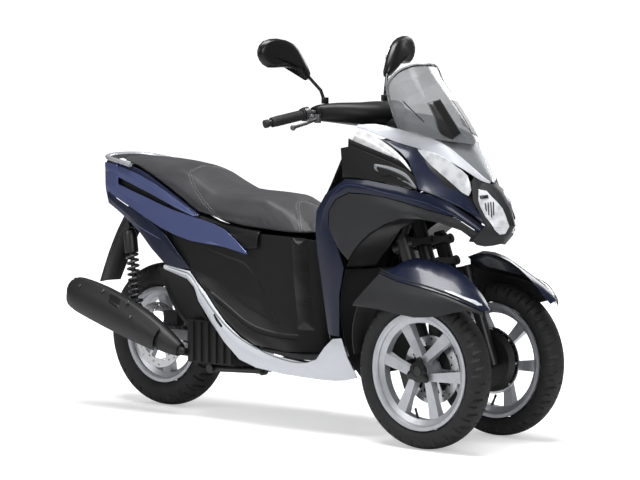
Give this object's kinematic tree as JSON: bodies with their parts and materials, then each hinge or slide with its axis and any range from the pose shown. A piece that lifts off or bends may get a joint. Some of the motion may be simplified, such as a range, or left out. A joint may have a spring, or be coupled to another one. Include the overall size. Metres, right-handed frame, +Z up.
{
  "type": "leaning scooter with two front wheels",
  "caption": "Leaning road scooter with a pair of steered front wheels on an open parallel linkage, a step-through floor, a two-level seat and a rear wheel in a swing unit.",
  "frame": {"origin": "on the ground, below the middle of the whole vehicle", "axes": "+Y to the rear, +X to the rider's left, +Z up"},
  "size_m": [0.792, 1.8639, 1.3],
  "materials": {
    "frame_black": "satin black powder coat",
    "link_grey": "dark grey coated castings",
    "blue_paint": "painted plastic, gloss",
    "fin_blue": "painted plastic, satin",
    "silver_paint": "painted plastic, satin",
    "grey_paint": "painted plastic, satin",
    "charcoal": "grained plastic",
    "black_plastic": "grained plastic",
    "lamp_glass": "clear",
    "amber": "clear amber lens",
    "red_lens": "red lens",
    "smoked": "smoked",
    "silver_metal": "satin silver",
    "engine_metal": "cast",
    "muffler_black": "heat-proof matt",
    "bright_metal": "satin",
    "spring_steel": "coated spring",
    "disc_steel": "ground",
    "rim_silver": "silver paint",
    "tyre_rubber": "matt",
    "grip_rubber": "ribbed",
    "seat_vinyl": "soft vinyl"
  },
  "bodies": {
    "chassis": {"frame": "frame_black", "lean_arms": "link_grey", "side_pivots": "link_grey", "arch_liner": "black_plastic", "nose_sides": "blue_paint", "nose_bands": "silver_paint", "nose_centre": "grey_paint", "nose_beak": "charcoal", "headlamps": "lamp_glass", "light_strips": "lamp_glass", "indicators": "amber", "windscreen": "smoked", "dash": "black_plastic", "vent_panels": "black_plastic", "shield_bands": "blue_paint", "arch_panels": "charcoal", "leg_panel": "charcoal", "floorboard": "charcoal", "sill_panels": "silver_paint", "side_covers": "black_plastic", "tail_sides": "fin_blue", "tail_fins": "fin_blue", "tail_lowers": "blue_paint", "tail_core": "black_plastic", "tail_lamp": "red_lens", "grab_rail": "silver_metal", "rear_fender": "black_plastic", "wheel_guard": "black_plastic", "luggage_bin": "black_plastic", "engine": "engine_metal", "radiator_cover": "black_plastic", "muffler": "muffler_black", "heat_shield": "muffler_black", "rear_shocks": "spring_steel", "rear_caliper": "link_grey"},
    "handlebar": {"handlebar": "frame_black", "bar_cover": "charcoal", "grips": "grip_rubber", "levers": "bright_metal", "mirrors": "black_plastic"},
    "tie_rod": {"tie_rod": "link_grey"},
    "fork_right": {"fork_right": "frame_black", "mudguard_right": "blue_paint", "skirt_right": "charcoal"},
    "fork_left": {"fork_left": "frame_black", "mudguard_left": "blue_paint", "skirt_left": "charcoal"},
    "wheel_front_right": {"rim_right": "rim_silver", "tyre_right": "tyre_rubber", "disc_right": "disc_steel"},
    "wheel_front_left": {"rim_left": "rim_silver", "tyre_left": "tyre_rubber", "disc_left": "disc_steel"},
    "wheel_rear": {"rim_rear": "rim_silver", "tyre_rear": "tyre_rubber", "disc_rear": "disc_steel"},
    "seat": {"seat": "seat_vinyl", "seat_hinge": "frame_black"},
    "centre_stand": {"centre_stand": "frame_black"}
  },
  "joints": [
    {"name": "steering", "type": "hinge", "parent": "chassis", "child": "handlebar", "pos_m": [0, -0.5636, 0.51213], "axis": [0, 0.342, 0.9397], "range_deg": [-35, 35]},
    {"name": "tie_rod_pin", "type": "hinge", "parent": "handlebar", "child": "tie_rod", "pos_m": [0, -0.49782, 0.48819], "axis": [0, 0.342, 0.9397], "range_deg": [-35, 35]},
    {"name": "steer_right", "type": "hinge", "parent": "chassis", "child": "fork_right", "pos_m": [-0.095, -0.5636, 0.51213], "axis": [0, 0.342, 0.9397], "range_deg": [-35, 35]},
    {"name": "steer_left", "type": "hinge", "parent": "chassis", "child": "fork_left", "pos_m": [0.095, -0.5636, 0.51213], "axis": [0, 0.342, 0.9397], "range_deg": [-35, 35]},
    {"name": "spin_right", "type": "hinge", "parent": "fork_right", "child": "wheel_front_right", "pos_m": [-0.1925, -0.682, 0.25], "axis": [1, 0, 0], "continuous": true},
    {"name": "spin_left", "type": "hinge", "parent": "fork_left", "child": "wheel_front_left", "pos_m": [0.1925, -0.682, 0.25], "axis": [1, 0, 0], "continuous": true},
    {"name": "spin_rear", "type": "hinge", "parent": "chassis", "child": "wheel_rear", "pos_m": [0, 0.628, 0.251], "axis": [1, 0, 0], "continuous": true},
    {"name": "seat_hinge", "type": "hinge", "parent": "chassis", "child": "seat", "pos_m": [0, -0.115, 0.634], "axis": [1, 0, 0], "range_deg": [0, 54]},
    {"name": "stand_hinge", "type": "hinge", "parent": "chassis", "child": "centre_stand", "pos_m": [0, 0.128, 0.172], "axis": [-1, 0, 0], "range_deg": [0, 100], "stiffness_Nm_per_rad": 12, "springref_deg": -34.38}
  ],
  "couplings": [
    {"joint": "steer_right", "follows": "steering", "ratio": 1},
    {"joint": "steer_left", "follows": "steering", "ratio": 1},
    {"joint": "tie_rod_pin", "follows": "steering", "ratio": -1}
  ]
}
